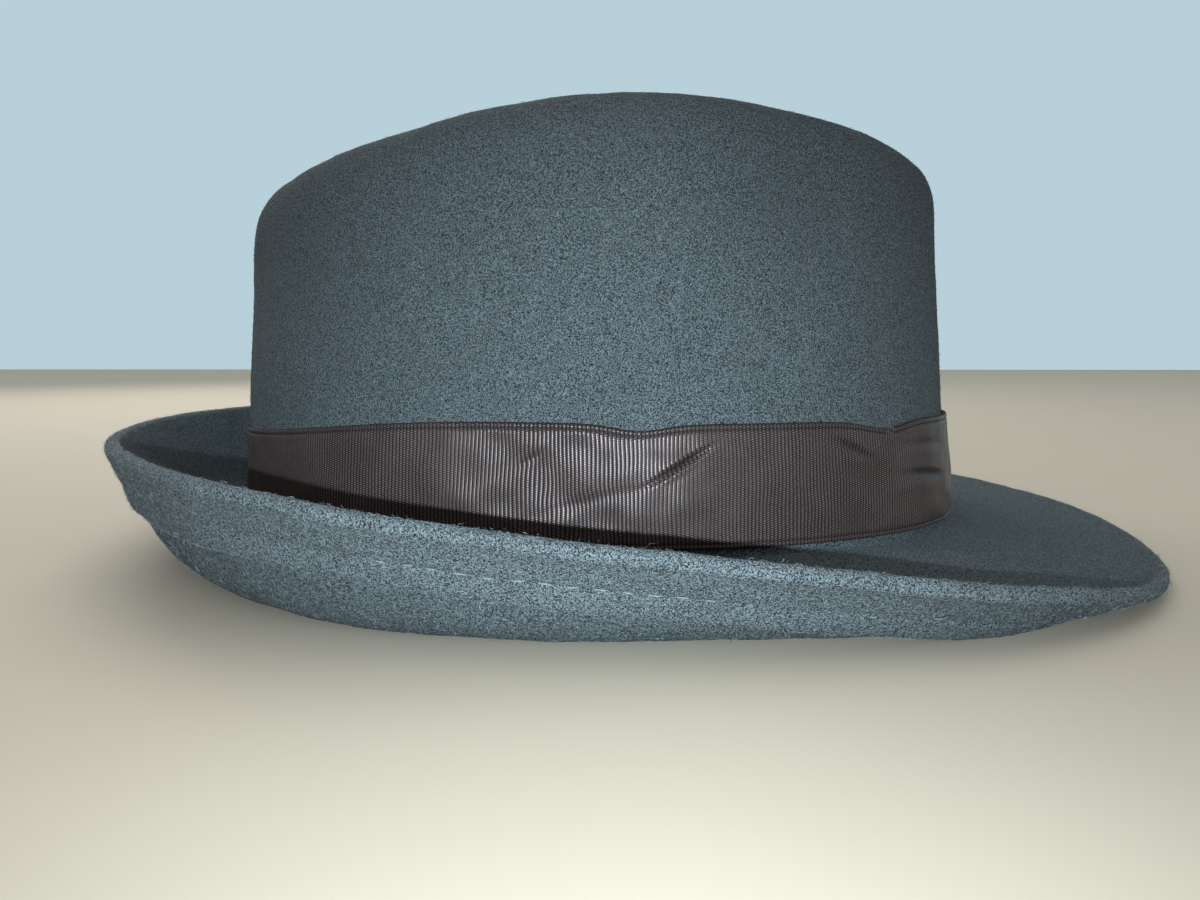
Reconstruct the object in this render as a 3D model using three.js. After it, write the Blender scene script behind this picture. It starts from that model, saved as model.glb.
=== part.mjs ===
// A wool felt hat with a teardrop crown, a brim turned up at the back, and a grosgrain band.
// Millimetres, +X to the wearer's front, +Y to the wearer's left, +Z up. The hat rests on z = 0.
import * as THREE from 'three';

// Driving dimensions.
const HEAD_LENGTH = 204; // outside length of the oval at the foot of the crown
const HEAD_WIDTH = 170; // outside width of the same oval
const CROWN_HEIGHT = 107; // highest stretch of the crown's rim above the table
const CREASE_DEPTH = 19; // fall from the crown's rim to the middle of its crease
const PINCH_DEPTH = 5; // how deep the fingers' pinches at the front are
const BRIM_WIDTH = 45; // reach of the brim beyond the crown, seen from above, at its sides
const BRIM_TURN_UP = 27.6; // height of the brim's edge above the table at the back
const BREAK_LIFT = 6; // height of the fold between crown and brim above the table, at the sides
const BREAK_RADIUS = 1.6; // inside radius of that fold
const FELT = 1.8; // thickness of the felt
const WELT_WIDTH = 13.5; // width of the edge that is folded under the brim
const WELT_THICKNESS = 3.4; // thickness of the brim where its edge is folded under
const WELT_STEP = 0.5; // run of the step at the folded edge's raw side
const SETTLE = 0.5; // how far the felt gives where it rests on the table
const REST_BLEND = 4; // run over which the ring it rests on climbs onto the folded edge
const BAND_WIDTH = 27; // width of the ribbon
const BAND_THICKNESS = 1; // thickness of the ribbon with its hem of stitches
const BAND_CLEARANCE = 0.3; // gap between the ribbon and the felt
const LAP_WIDTH = 16; // length of ribbon that lies double where its ends meet
const LAP_RISE = 0.8; // how far the outer end stands over the inner one
const LAP_STEP = 4; // run of the step at each side of the lapped joint
const CREASE_RISE = 1; // how far the ribbon's main crease stands off the band

// Form of the oval: 2 is an ellipse, and more is squarer.
const OVAL_SQUARENESS = 2.12;

// Form of the curves between the named sizes, as shares of what they join. fullness is how far
// the shoulder fills its corner, steepness how much steeper the brim falls at the fold than
// straight to its lowest ring, and the pulls are the lengths of its curves' handles. swelling
// lifts the crease round its middle, middleRise is the height that its depth is taken from,
// dentFade how fast the dents fade over the top, and edgeBulge rounds the brim's edge.
const FORM = {
  fullness: 0.62,
  steepness: 1.2,
  fallPull: 0.36,
  risePull: 0.4,
  swelling: 4,
  middleRise: 0.965,
  dentFade: 3,
  edgeBulge: 0.6,
};

// How finely the surfaces are cut.
const BODY_STEPS = 64;
const BAND_STEPS = 128;
const BAND_ROWS = 6;
const RINGS = { top: 6, shoulder: 5, wall: 4, brim: 12 };
const SINGLE_BRIM_RINGS = 10;
const WELT_RINGS = 3;
const EDGE_DEPTHS = [0.25, 0.75];

// How far aside the surface's slope is taken: degrees round the hat, and a share along a part.
const SLOPE_TURN = 0.5;
const SLOPE_SHARE = 0.01;

// Sections of the hat, from the front (heading 0) to the back (180), alike on both sides.
// crestReach and wallLean are shares of the oval's radius at that heading, crestRise and
// shoulderDrop of CROWN_HEIGHT, breakRise of BREAK_LIFT, lowReach and edgeReach of BRIM_WIDTH,
// and edgeRise of BRIM_TURN_UP. edgeAngle is the slope of the brim at its edge, in degrees.
const SECTIONS = [
  { heading: 0, crestReach: 0.862, crestRise: 0.935, shoulderDrop: 0.115, wallLean: 0.068,
    breakRise: 0.65, lowReach: 0.83, edgeReach: 0.93, edgeRise: 0.035, edgeAngle: 8 },
  { heading: 30, crestReach: 0.77, crestRise: 0.975, shoulderDrop: 0.12, wallLean: 0.06,
    breakRise: 0.75, lowReach: 0.96, edgeReach: 1.09, edgeRise: 0.025, edgeAngle: 14 },
  { heading: 60, crestReach: 0.786, crestRise: 1, shoulderDrop: 0.135, wallLean: 0.064,
    breakRise: 0.92, lowReach: 0.75, edgeReach: 1.11, edgeRise: 0.34, edgeAngle: 32 },
  { heading: 90, crestReach: 0.81, crestRise: 1, shoulderDrop: 0.13, wallLean: 0.058,
    breakRise: 1, lowReach: 0.57, edgeReach: 0.97, edgeRise: 0.65, edgeAngle: 45 },
  { heading: 120, crestReach: 0.814, crestRise: 0.952, shoulderDrop: 0.125, wallLean: 0.064,
    breakRise: 0.88, lowReach: 0.47, edgeReach: 0.95, edgeRise: 0.92, edgeAngle: 58 },
  { heading: 150, crestReach: 0.855, crestRise: 0.89, shoulderDrop: 0.14, wallLean: 0.048,
    breakRise: 0.2, lowReach: 0.2, edgeReach: 0.68, edgeRise: 0.99, edgeAngle: 66 },
  { heading: 180, crestReach: 0.863, crestRise: 0.86, shoulderDrop: 0.15, wallLean: 0.027,
    breakRise: 0, lowReach: 0.08, edgeReach: 0.57, edgeRise: 1, edgeAngle: 66 },
];

// Dents pressed into the crown's side. heading and spread are degrees, rise and tall are
// shares of CROWN_HEIGHT, and depth is a share of PINCH_DEPTH.
const DENTS = [
  { heading: 50, spread: 19, rise: 0.84, tall: 0.17, depth: 1 },
  { heading: -50, spread: 19, rise: 0.84, tall: 0.17, depth: 1 },
  { heading: 168, spread: 16, rise: 0.7, tall: 0.2, depth: 0.25 },
  { heading: -150, spread: 14, rise: 0.66, tall: 0.16, depth: 0.3 },
];

// Creases of the ribbon, as ridges. heading is degrees, rise and run are shares of BAND_WIDTH
// from its lower edge and along it, slant is degrees from level, sharp is the ridge's width
// as a share of BAND_WIDTH, and height is a share of CREASE_RISE.
const CREASES = [
  { heading: -80, rise: 0.62, run: 0.42, slant: 28, sharp: 0.09, height: 1 },
  { heading: -91, rise: 0.48, run: 0.5, slant: 12, sharp: 0.12, height: 0.45 },
  { heading: -50, rise: 0.78, run: 0.35, slant: 12, sharp: 0.09, height: 0.6 },
  { heading: -38, rise: 0.62, run: 0.35, slant: 20, sharp: 0.09, height: 0.5 },
];

// Places where a stitch draws the ribbon's upper edge down. heading and spread are degrees,
// and drop is a share of BAND_WIDTH.
const TACKS = [
  { heading: -83, spread: 5, drop: 0.055 },
  { heading: -43, spread: 6, drop: 0.07 },
];

// Heading of the middle of the ribbon's lapped joint.
const LAP_HEADING = 90;

const radians = THREE.MathUtils.degToRad;
const { smoothstep, lerp } = THREE.MathUtils;

// Smooth curve round the hat through one column of SECTIONS: an even cosine series.
function roundTheHat(column) {
  const last = SECTIONS.length - 1;
  const waves = SECTIONS.map((_, wave) => {
    const sum = SECTIONS.reduce((total, row, i) => {
      const weight = i === 0 || i === last ? 0.5 : 1;
      return total + weight * row[column] * Math.cos((Math.PI * wave * i) / last);
    }, 0);
    return (wave === 0 || wave === last ? 1 : 2) * (sum / last);
  });
  return (angle) => waves.reduce((total, size, wave) => total + size * Math.cos(wave * angle), 0);
}

const profile = {};
for (const column of Object.keys(SECTIONS[0]).filter((name) => name !== 'heading')) {
  profile[column] = roundTheHat(column);
}

// Radius of the oval at the foot of the crown.
function ovalRadius(angle) {
  const along = Math.abs(Math.cos(angle) / (HEAD_LENGTH / 2)) ** OVAL_SQUARENESS;
  const across = Math.abs(Math.sin(angle) / (HEAD_WIDTH / 2)) ** OVAL_SQUARENESS;
  return (along + across) ** (-1 / OVAL_SQUARENESS);
}

// Difference of two angles, between -180 and 180 degrees, in degrees.
function turnBetween(angle, heading) {
  const turn = THREE.MathUtils.radToDeg(angle) - heading;
  return THREE.MathUtils.euclideanModulo(turn + 180, 360) - 180;
}

const bell = (distance, width) => Math.exp(-((distance / width) ** 2));

// How far the dents press the crown in at a heading and a height.
function dentDepth(angle, z) {
  return DENTS.reduce((total, dent) => {
    const sideways = bell(turnBetween(angle, dent.heading), dent.spread);
    const upright = bell(z / CROWN_HEIGHT - dent.rise, dent.tall);
    return total + dent.depth * PINCH_DEPTH * sideways * upright;
  }, 0);
}

// The upper face of the felt along one heading, in four parts from the crown's middle to the
// brim's edge. x is the distance from the middle, and y is the height.
function sectionAt(angle) {
  const foot = ovalRadius(angle);
  const share = (column) => profile[column](angle);
  const crest = new THREE.Vector2(share('crestReach') * foot, share('crestRise') * CROWN_HEIGHT);
  const shoulderEnd = new THREE.Vector2(
    foot * (1 - share('wallLean')),
    crest.y - share('shoulderDrop') * CROWN_HEIGHT,
  );
  const breakHeight = FELT + share('breakRise') * BREAK_LIFT;
  const wallFoot = new THREE.Vector2(foot, breakHeight + BREAK_RADIUS);
  const lean = (foot - shoulderEnd.x) / (shoulderEnd.y - wallFoot.y);

  // The shoulder leaves the crest level and ends in line with the wall.
  const drop = FORM.fullness * (crest.y - shoulderEnd.y);
  const shoulder = new THREE.CubicBezierCurve(
    crest,
    new THREE.Vector2(lerp(crest.x, shoulderEnd.x, FORM.fullness), crest.y),
    new THREE.Vector2(shoulderEnd.x - drop * lean, shoulderEnd.y + drop),
    shoulderEnd,
  );
  const wall = new THREE.LineCurve(shoulderEnd, wallFoot);

  // The brim falls from the fold to its lowest ring and rises from there to its edge. The ring
  // lies higher where the folded edge is under it.
  const edgeReach = foot + share('edgeReach') * BRIM_WIDTH;
  const lowReach = foot + share('lowReach') * BRIM_WIDTH;
  const doubled = smoothstep(WELT_WIDTH - (edgeReach - lowReach), -REST_BLEND / 2, REST_BLEND / 2);
  const low = new THREE.Vector2(lowReach, lerp(FELT, WELT_THICKNESS, doubled) - SETTLE);
  const edge = new THREE.Vector2(edgeReach, WELT_THICKNESS + share('edgeRise') * BRIM_TURN_UP);
  const fallStart = new THREE.Vector2(foot + BREAK_RADIUS, breakHeight);
  const fallSlope = FORM.steepness * Math.atan2(fallStart.y - low.y, low.x - fallStart.x);
  const edgeSlope = radians(share('edgeAngle'));
  const start = foldEnd(foot, breakHeight, fallSlope);
  const fallPull = FORM.fallPull * start.distanceTo(low);
  const risePull = FORM.risePull * low.distanceTo(edge);
  const brim = new THREE.CurvePath();
  brim.add(new THREE.QuadraticBezierCurve(wallFoot, foldCorner(wallFoot, start, fallSlope), start));
  brim.add(new THREE.CubicBezierCurve(
    start,
    new THREE.Vector2(start.x + fallPull * Math.cos(fallSlope), start.y - fallPull * Math.sin(fallSlope)),
    new THREE.Vector2(low.x - fallPull, low.y),
    low,
  ));
  brim.add(new THREE.CubicBezierCurve(
    low,
    new THREE.Vector2(low.x + risePull, low.y),
    new THREE.Vector2(edge.x - risePull * Math.cos(edgeSlope), edge.y - risePull * Math.sin(edgeSlope)),
    edge,
  ));
  return { angle, crest, shoulder, wall, wallFoot, shoulderEnd, brim, brimLength: brim.getLength() };
}

// End of the fold between crown and brim, where the brim starts to fall at a slope.
function foldEnd(foot, breakHeight, slope) {
  const turn = Math.PI / 2 - slope;
  return new THREE.Vector2(
    foot + BREAK_RADIUS * (1 - Math.cos(turn)),
    breakHeight + BREAK_RADIUS * (1 - Math.sin(turn)),
  );
}

// Corner of the fold: where the wall's line meets the line of the falling brim.
function foldCorner(wallFoot, end, slope) {
  return new THREE.Vector2(wallFoot.x, end.y + (end.x - wallFoot.x) * Math.tan(slope));
}

// Height of the crown's top inside its rim: t runs from the middle to the rim. The crease is
// deepest in a valley round a low swelling.
function creasedTop(crest, t) {
  const depth = (1 - t * t) ** 2 * (1 + FORM.swelling * t * t);
  return lerp(FORM.middleRise * CROWN_HEIGHT, crest.y, t * t) - CREASE_DEPTH * depth;
}

// Point on the upper face of the felt, from a section, one of its parts and a share along it.
function feltPoint(section, part, share) {
  let x = section.crest.x * share;
  let y = creasedTop(section.crest, share);
  if (part !== 'top') {
    const point = section[part].getPoint(share);
    x = point.x;
    y = point.y;
  }
  const fade = part === 'top' ? share ** FORM.dentFade : 1;
  x -= fade * dentDepth(section.angle, y);
  return new THREE.Vector3(x * Math.cos(section.angle), x * Math.sin(section.angle), y);
}

// Sections at every step round the hat, each with one close beside it that gives its slope.
function sectionsRound(steps) {
  const aside = radians(SLOPE_TURN);
  return Array.from({ length: steps }, (_, i) => {
    const angle = (2 * Math.PI * i) / steps;
    return { here: sectionAt(angle), beside: sectionAt(angle + aside) };
  });
}

// Point at a distance off the upper face of the felt, along its normal.
function offFelt({ here, beside }, part, share, distance) {
  const step = share > 0.5 ? -SLOPE_SHARE : SLOPE_SHARE;
  const point = feltPoint(here, part, share);
  const along = feltPoint(here, part, share + step).sub(point).multiplyScalar(Math.sign(step));
  const across = feltPoint(beside, part, share).sub(point);
  return point.clone().addScaledVector(along.cross(across).normalize(), distance);
}

// Stations of the rings from the middle of the crown to the brim's edge: a part and a share of it.
function stations() {
  return Object.entries(RINGS).flatMap(([part, count]) =>
    Array.from({ length: count }, (_, i) => ({ part, share: (i + 1) / count })));
}

// Ring of points round the hat at one station. thickness may depend on the section.
function ringAt(sections, { part, share }, thickness) {
  return sections.map((pair) => {
    const shareHere = typeof share === 'function' ? share(pair.here) : share;
    return offFelt(pair, part, shareHere, -thickness);
  });
}

// Closed surface through rings, from one ring to the next. Poles close its ends with fans, and
// without poles the last ring joins the first.
function surfaceThrough(rings, poles) {
  const steps = rings[0].length;
  const points = rings.flat().concat(poles ?? []);
  const faces = [];
  const joins = poles ? rings.length - 1 : rings.length;
  for (let row = 0; row < joins; row += 1) {
    const next = (row + 1) % rings.length;
    for (let i = 0; i < steps; i += 1) {
      const j = (i + 1) % steps;
      const [a, b, c, d] = [row * steps + i, next * steps + i, next * steps + j, row * steps + j];
      faces.push(a, b, c, a, c, d);
    }
  }
  if (poles) {
    const [first, last] = [points.length - 2, points.length - 1];
    const end = (rings.length - 1) * steps;
    for (let i = 0; i < steps; i += 1) {
      const j = (i + 1) % steps;
      faces.push(first, i, j, last, end + j, end + i);
    }
  }
  const geometry = new THREE.BufferGeometry().setFromPoints(points);
  geometry.setIndex(faces);
  geometry.computeVertexNormals();
  return geometry;
}

// Point on the brim's rounded edge, at a share of the way from its upper to its lower face.
function roundedEdge(pair, depth) {
  const upper = feltPoint(pair.here, 'brim', 1);
  const inward = feltPoint(pair.here, 'brim', 1 - WELT_THICKNESS / pair.here.brimLength);
  const outward = upper.clone().sub(inward).normalize();
  const bulge = FORM.edgeBulge * WELT_THICKNESS * Math.sqrt(depth * (1 - depth));
  return upper.lerp(offFelt(pair, 'brim', 1, -WELT_THICKNESS), depth).addScaledVector(outward, bulge);
}

// Crown and brim: the upper face, the rounded edge, and the lower face back to the middle. The
// lower face steps down where the folded edge ends, and is flat where the hat rests.
function feltBody() {
  const sections = sectionsRound(BODY_STEPS);
  const outside = stations().map((station) => ringAt(sections, station, 0));
  const weltStart = (section) => 1 - (WELT_WIDTH + WELT_STEP) / section.brimLength;
  const underWelt = Array.from({ length: WELT_RINGS + 1 }, (_, i) => {
    const inward = WELT_WIDTH * (1 - i / WELT_RINGS);
    return { part: 'brim', share: (section) => 1 - inward / section.brimLength };
  });
  const lip = EDGE_DEPTHS.map((depth) => sections.map((pair) => roundedEdge(pair, depth)));
  const singleBrim = Array.from({ length: SINGLE_BRIM_RINGS }, (_, i) => ({
    part: 'brim',
    share: (section) => ((i + 1) / SINGLE_BRIM_RINGS) * weltStart(section),
  }));
  const inside = stations().filter(({ part }) => part !== 'brim');
  const lower = [
    ...inside.concat(singleBrim).map((station) => ringAt(sections, station, FELT)),
    ...underWelt.map((station) => ringAt(sections, station, WELT_THICKNESS)),
  ].reverse();
  const rings = [...outside, ...lip, ...lower];
  rings.flat().forEach((point) => {
    point.z = Math.max(point.z, 0);
  });
  const middle = creasedTop({ y: 0 }, 0);
  return surfaceThrough(rings, [new THREE.Vector3(0, 0, middle), new THREE.Vector3(0, 0, middle - FELT)]);
}

// Height of the ribbon's creases over its plain face, at a heading and a share of its width.
function creaseHeight(angle, share) {
  return CREASES.reduce((total, crease) => {
    const slant = radians(crease.slant);
    const foot = ovalRadius(angle);
    const x = (radians(turnBetween(angle, crease.heading)) * foot) / BAND_WIDTH;
    const y = share - crease.rise;
    const along = x * Math.cos(slant) + y * Math.sin(slant);
    const across = y * Math.cos(slant) - x * Math.sin(slant);
    return total + CREASE_RISE * crease.height * bell(along, crease.run) * bell(across, crease.sharp);
  }, 0);
}

// Height of the outer end of the ribbon over the inner one, at its lapped joint.
function lapHeight(angle) {
  const distance = Math.abs(radians(turnBetween(angle, LAP_HEADING)) * ovalRadius(angle));
  return LAP_RISE * (1 - smoothstep(distance, (LAP_WIDTH - LAP_STEP) / 2, (LAP_WIDTH + LAP_STEP) / 2));
}

// Share of the crown's wall at a share of the ribbon's width over the ribbon's lower edge.
function wallShare(section, share) {
  const drop = TACKS.reduce((total, tack) =>
    total + tack.drop * bell(turnBetween(section.angle, tack.heading), tack.spread), 0);
  const height = BAND_CLEARANCE + BAND_WIDTH * (share - drop * share);
  return 1 - height / (section.shoulderEnd.y - section.wallFoot.y);
}

// The ribbon: its back, a gap off the crown, and its face with the creases.
function hatBand() {
  const sections = sectionsRound(BAND_STEPS);
  const row = (share, offset) => sections.map((pair) =>
    offFelt(pair, 'wall', wallShare(pair.here, share), offset(pair.here.angle, share)));
  const back = () => BAND_CLEARANCE;
  const face = (angle, share) =>
    BAND_CLEARANCE + BAND_THICKNESS + creaseHeight(angle, share) + lapHeight(angle);
  const shares = Array.from({ length: BAND_ROWS + 1 }, (_, i) => 1 - i / BAND_ROWS);
  return surfaceThrough([row(0, back), row(1, back), ...shares.map((share) => row(share, face))]);
}

const felt = new THREE.MeshStandardMaterial({ color: 0x3b4449, roughness: 0.97, metalness: 0 });
const ribbon = new THREE.MeshStandardMaterial({ color: 0x3a2e2e, roughness: 0.72, metalness: 0 });

function named(name, geometry, material) {
  const mesh = new THREE.Mesh(geometry, material);
  mesh.name = name;
  return mesh;
}

const body = named('felt_body', feltBody(), felt);
const band = named('hat_band', hatBand(), ribbon);
const hat = new THREE.Group();
hat.add(body, band);

// The origin is the middle of the hat's length and width, on the table.
body.geometry.computeBoundingBox();
hat.position.x = -(body.geometry.boundingBox.min.x + body.geometry.boundingBox.max.x) / 2;

export default hat;
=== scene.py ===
"""A wool felt hat resting on its brim: felt crown and brim, stitched edge, ribbed ribbon and nap.

Sizes are millimetres until a mesh is made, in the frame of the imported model: +X to the wearer's
front, +Y to the wearer's left, +Z up. Headings are degrees round the hat from the front.
"""
import math

import bpy
import numpy as np
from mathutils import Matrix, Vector


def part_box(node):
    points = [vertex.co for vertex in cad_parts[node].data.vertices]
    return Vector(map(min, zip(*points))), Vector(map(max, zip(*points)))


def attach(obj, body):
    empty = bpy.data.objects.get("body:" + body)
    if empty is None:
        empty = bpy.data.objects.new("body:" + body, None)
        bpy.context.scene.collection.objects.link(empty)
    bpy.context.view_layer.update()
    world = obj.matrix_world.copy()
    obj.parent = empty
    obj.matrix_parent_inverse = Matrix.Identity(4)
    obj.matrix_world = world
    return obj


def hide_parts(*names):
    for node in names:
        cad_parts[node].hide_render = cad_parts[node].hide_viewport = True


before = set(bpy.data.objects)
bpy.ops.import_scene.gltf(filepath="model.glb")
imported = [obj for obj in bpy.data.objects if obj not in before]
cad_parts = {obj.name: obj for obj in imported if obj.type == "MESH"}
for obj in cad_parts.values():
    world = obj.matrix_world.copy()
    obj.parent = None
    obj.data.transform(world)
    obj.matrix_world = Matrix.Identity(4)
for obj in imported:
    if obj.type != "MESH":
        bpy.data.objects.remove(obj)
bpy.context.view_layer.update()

MM = 0.001
SEED = 7

# Driving sizes, as in the CAD model
HEAD_LENGTH = 204
HEAD_WIDTH = 170
CROWN_HEIGHT = 107
CREASE_DEPTH = 19
PINCH_DEPTH = 5
BRIM_WIDTH = 45
BRIM_TURN_UP = 27.6
BREAK_LIFT = 6
BREAK_RADIUS = 1.6
FELT = 1.8
WELT_WIDTH = 13.5
WELT_THICKNESS = 3.4
SETTLE = 0.5
REST_BLEND = 4
BAND_WIDTH = 27
BAND_THICKNESS = 1
BAND_CLEARANCE = 0.3
OVAL_SQUARENESS = 2.12

# Form of the curves between those sizes, as shares of what they join
FULLNESS = 0.62
STEEPNESS = 1.2
FALL_PULL = 0.36
RISE_PULL = 0.4
SWELLING = 4
MIDDLE_RISE = 0.965
DENT_FADE = 3
EDGE_BULGE = 0.8

# Sections from the front to the back, alike on both sides, at every 30 degrees. Reaches and the
# lean are shares of the oval's radius or of BRIM_WIDTH, and rises are shares of their heights.
SECTIONS = {
    "crest_reach": (0.862, 0.77, 0.786, 0.81, 0.814, 0.855, 0.863),
    "crest_rise": (0.935, 0.975, 1, 1, 0.952, 0.89, 0.86),
    "shoulder_drop": (0.115, 0.12, 0.135, 0.13, 0.125, 0.14, 0.15),
    "wall_lean": (0.068, 0.06, 0.064, 0.058, 0.064, 0.048, 0.027),
    "break_rise": (0.65, 0.75, 0.92, 1, 0.88, 0.2, 0),
    "low_reach": (0.83, 0.96, 0.75, 0.57, 0.47, 0.2, 0.08),
    "edge_reach": (0.93, 1.09, 1.11, 0.97, 0.95, 0.68, 0.57),
    "edge_rise": (0.035, 0.025, 0.34, 0.65, 0.92, 0.99, 1),
    "edge_angle": (8, 14, 32, 45, 58, 66, 66),
}

# Dents in the crown: heading, spread, rise and height as shares of CROWN_HEIGHT, and depth as a
# share of PINCH_DEPTH
DENTS = (
    {"heading": 50, "spread": 19, "rise": 0.84, "tall": 0.17, "depth": 1},
    {"heading": -50, "spread": 19, "rise": 0.84, "tall": 0.17, "depth": 1},
    {"heading": 168, "spread": 16, "rise": 0.7, "tall": 0.2, "depth": 0.25},
    {"heading": -150, "spread": 14, "rise": 0.66, "tall": 0.16, "depth": 0.3},
)

# Camera, where the photograph was taken from
CAMERA_PLACE = (-3.6, -266.4, 53.6)
CAMERA_YAW = 0.013
CAMERA_PITCH = math.atan2(107, 866.67)
LENS = 26
SENSOR = 36

rng = np.random.default_rng(SEED)
WAVES_EACH = 7
# Points along the fold at the crown's foot, and along each of the two curves of the brim
FOLD_STEPS = 9
BRIM_STEPS = 33


def camera():
    data = bpy.data.cameras.new("camera")
    data.lens = LENS
    data.sensor_width = SENSOR
    data.clip_start = 0.005
    shot = bpy.data.objects.new("camera", data)
    shot.location = np.array(CAMERA_PLACE) * MM
    shot.rotation_euler = (math.pi / 2 - CAMERA_PITCH, 0, CAMERA_YAW)
    bpy.context.scene.collection.objects.link(shot)
    bpy.context.scene.camera = shot


# Form of the felt

def bell(distance, width):
    return np.exp(-((distance / width) ** 2))


def smoothstep(x, low, high):
    t = np.clip((x - low) / (high - low), 0, 1)
    return t * t * (3 - 2 * t)


def turn_between(angle, heading):
    """Difference of two angles in degrees, from -180 to 180; angle is in radians."""
    return (np.degrees(angle) - heading + 180) % 360 - 180


def round_the_hat(column, angle):
    """Smooth curve round the hat through one column of SECTIONS: an even cosine series."""
    values = np.array(SECTIONS[column], float)
    last = len(values) - 1
    rows = np.arange(last + 1)
    weight = np.where((rows == 0) | (rows == last), 0.5, 1)
    waves = 2 / last * np.cos(np.pi * np.outer(rows, rows) / last) @ (weight * values)
    waves[[0, last]] /= 2
    return np.cos(np.multiply.outer(angle, rows)) @ waves


def oval_radius(angle):
    along = np.abs(np.cos(angle) / (HEAD_LENGTH / 2)) ** OVAL_SQUARENESS
    across = np.abs(np.sin(angle) / (HEAD_WIDTH / 2)) ** OVAL_SQUARENESS
    return (along + across) ** (-1 / OVAL_SQUARENESS)


def dent_depth(angle, z):
    total = np.zeros_like(z)
    for dent in DENTS:
        sideways = bell(turn_between(angle, dent["heading"]), dent["spread"])
        upright = bell(z / CROWN_HEIGHT - dent["rise"], dent["tall"])
        total += dent["depth"] * PINCH_DEPTH * sideways * upright
    return total


def bezier(points, steps):
    """Points along Bezier curves of any degree; each of points holds one corner of every curve."""
    t = np.linspace(0, 1, steps)[:, None, None]
    level = [np.broadcast_to(p, (steps, *p.shape)) for p in points]
    while len(level) > 1:
        level = [a * (1 - t) + b * t for a, b in zip(level, level[1:])]
    return level[0]


def corner(x, z):
    return np.stack([x, z + np.zeros_like(x)], axis=-1)


class Sections:
    """Sections of the felt's upper face at some headings; x is the distance from the middle."""

    def __init__(self, angle):
        self.angle = angle
        self.foot = oval_radius(angle)
        share = {column: round_the_hat(column, angle) for column in SECTIONS}
        self.crest = corner(share["crest_reach"] * self.foot, share["crest_rise"] * CROWN_HEIGHT)
        self.shoulder_end = corner(
            self.foot * (1 - share["wall_lean"]),
            self.crest[:, 1] - share["shoulder_drop"] * CROWN_HEIGHT,
        )
        self.break_height = FELT + share["break_rise"] * BREAK_LIFT
        self.wall_foot = corner(self.foot, self.break_height + BREAK_RADIUS)
        rise = self.shoulder_end[:, 1] - self.wall_foot[:, 1]
        self.lean = (self.foot - self.shoulder_end[:, 0]) / rise
        self.path, self.reach = self.brim_path(share)
        self.brim_length = self.reach[-1]

    def brim_path(self, share):
        """The brim as a fold, a fall to its lowest ring and a rise to its edge, with distances."""
        edge_x = self.foot + share["edge_reach"] * BRIM_WIDTH
        low_x = self.foot + share["low_reach"] * BRIM_WIDTH
        doubled = smoothstep(WELT_WIDTH - (edge_x - low_x), -REST_BLEND / 2, REST_BLEND / 2)
        low = corner(low_x, FELT + (WELT_THICKNESS - FELT) * doubled - SETTLE)
        edge = corner(edge_x, WELT_THICKNESS + share["edge_rise"] * BRIM_TURN_UP)
        fall = STEEPNESS * np.arctan2(
            self.break_height - low[:, 1], low_x - self.foot - BREAK_RADIUS
        )
        slope = np.radians(share["edge_angle"])
        turn = np.pi / 2 - fall
        start = corner(
            self.foot + BREAK_RADIUS * (1 - np.cos(turn)),
            self.break_height + BREAK_RADIUS * (1 - np.sin(turn)),
        )
        fold = corner(self.foot, start[:, 1] + (start[:, 0] - self.foot) * np.tan(fall))
        pull = FALL_PULL * np.linalg.norm(low - start, axis=1)
        push = RISE_PULL * np.linalg.norm(edge - low, axis=1)
        down = start + pull[:, None] * corner(np.cos(fall), -np.sin(fall))
        level_in = low - corner(pull, 0)
        level_out = low + corner(push, 0)
        up = edge - push[:, None] * corner(np.cos(slope), np.sin(slope))
        path = np.concatenate([
            bezier([self.wall_foot, fold, start], FOLD_STEPS),
            bezier([start, down, level_in, low], BRIM_STEPS)[1:],
            bezier([low, level_out, up, edge], BRIM_STEPS)[1:],
        ])
        steps = np.linalg.norm(np.diff(path, axis=0), axis=2)
        return path, np.concatenate([np.zeros((1, len(self.angle))), np.cumsum(steps, axis=0)])

    def top(self, share):
        t = np.asarray(share)[:, None]
        depth = CREASE_DEPTH * (1 - t * t) ** 2 * (1 + SWELLING * t * t)
        middle = MIDDLE_RISE * CROWN_HEIGHT
        z = middle + (self.crest[:, 1] - middle) * t * t - depth
        x = self.crest[:, 0] * t - t ** DENT_FADE * dent_depth(self.angle, z)
        return np.stack([x, z], axis=-1)

    def shoulder(self, steps):
        drop = FULLNESS * (self.crest[:, 1] - self.shoulder_end[:, 1])
        along = FULLNESS * (self.shoulder_end[:, 0] - self.crest[:, 0])
        into_wall = self.shoulder_end + corner(-drop * self.lean, drop)
        return self.dented(bezier(
            [self.crest, self.crest + corner(along, 0), into_wall, self.shoulder_end], steps
        ))

    def wall(self, height):
        """Points at heights over the wall's foot; height is one row of numbers for each ring."""
        z = self.wall_foot[:, 1] + height
        return self.dented(np.stack([self.foot - self.lean * height, z], axis=-1))

    def brim(self, distance):
        """Points at distances along the brim from the wall's foot."""
        found = np.empty((len(distance), len(self.angle), 2))
        for i in range(len(self.angle)):
            for axis in (0, 1):
                found[:, i, axis] = np.interp(
                    distance[:, i], self.reach[:, i], self.path[:, i, axis]
                )
        return self.dented(found)

    def dented(self, points):
        points[..., 0] -= dent_depth(self.angle, points[..., 1])
        return points

    def in_space(self, points):
        x = points[..., 0] * np.cos(self.angle)
        y = points[..., 0] * np.sin(self.angle)
        return np.stack([x, y, points[..., 1]], axis=-1)


def normals(grid):
    """Outward normals of a grid of rings."""
    along = np.gradient(grid, axis=0)
    across = np.roll(grid, -1, axis=1) - np.roll(grid, 1, axis=1)
    found = np.cross(along, across)
    return found / np.linalg.norm(found, axis=-1, keepdims=True)


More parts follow.
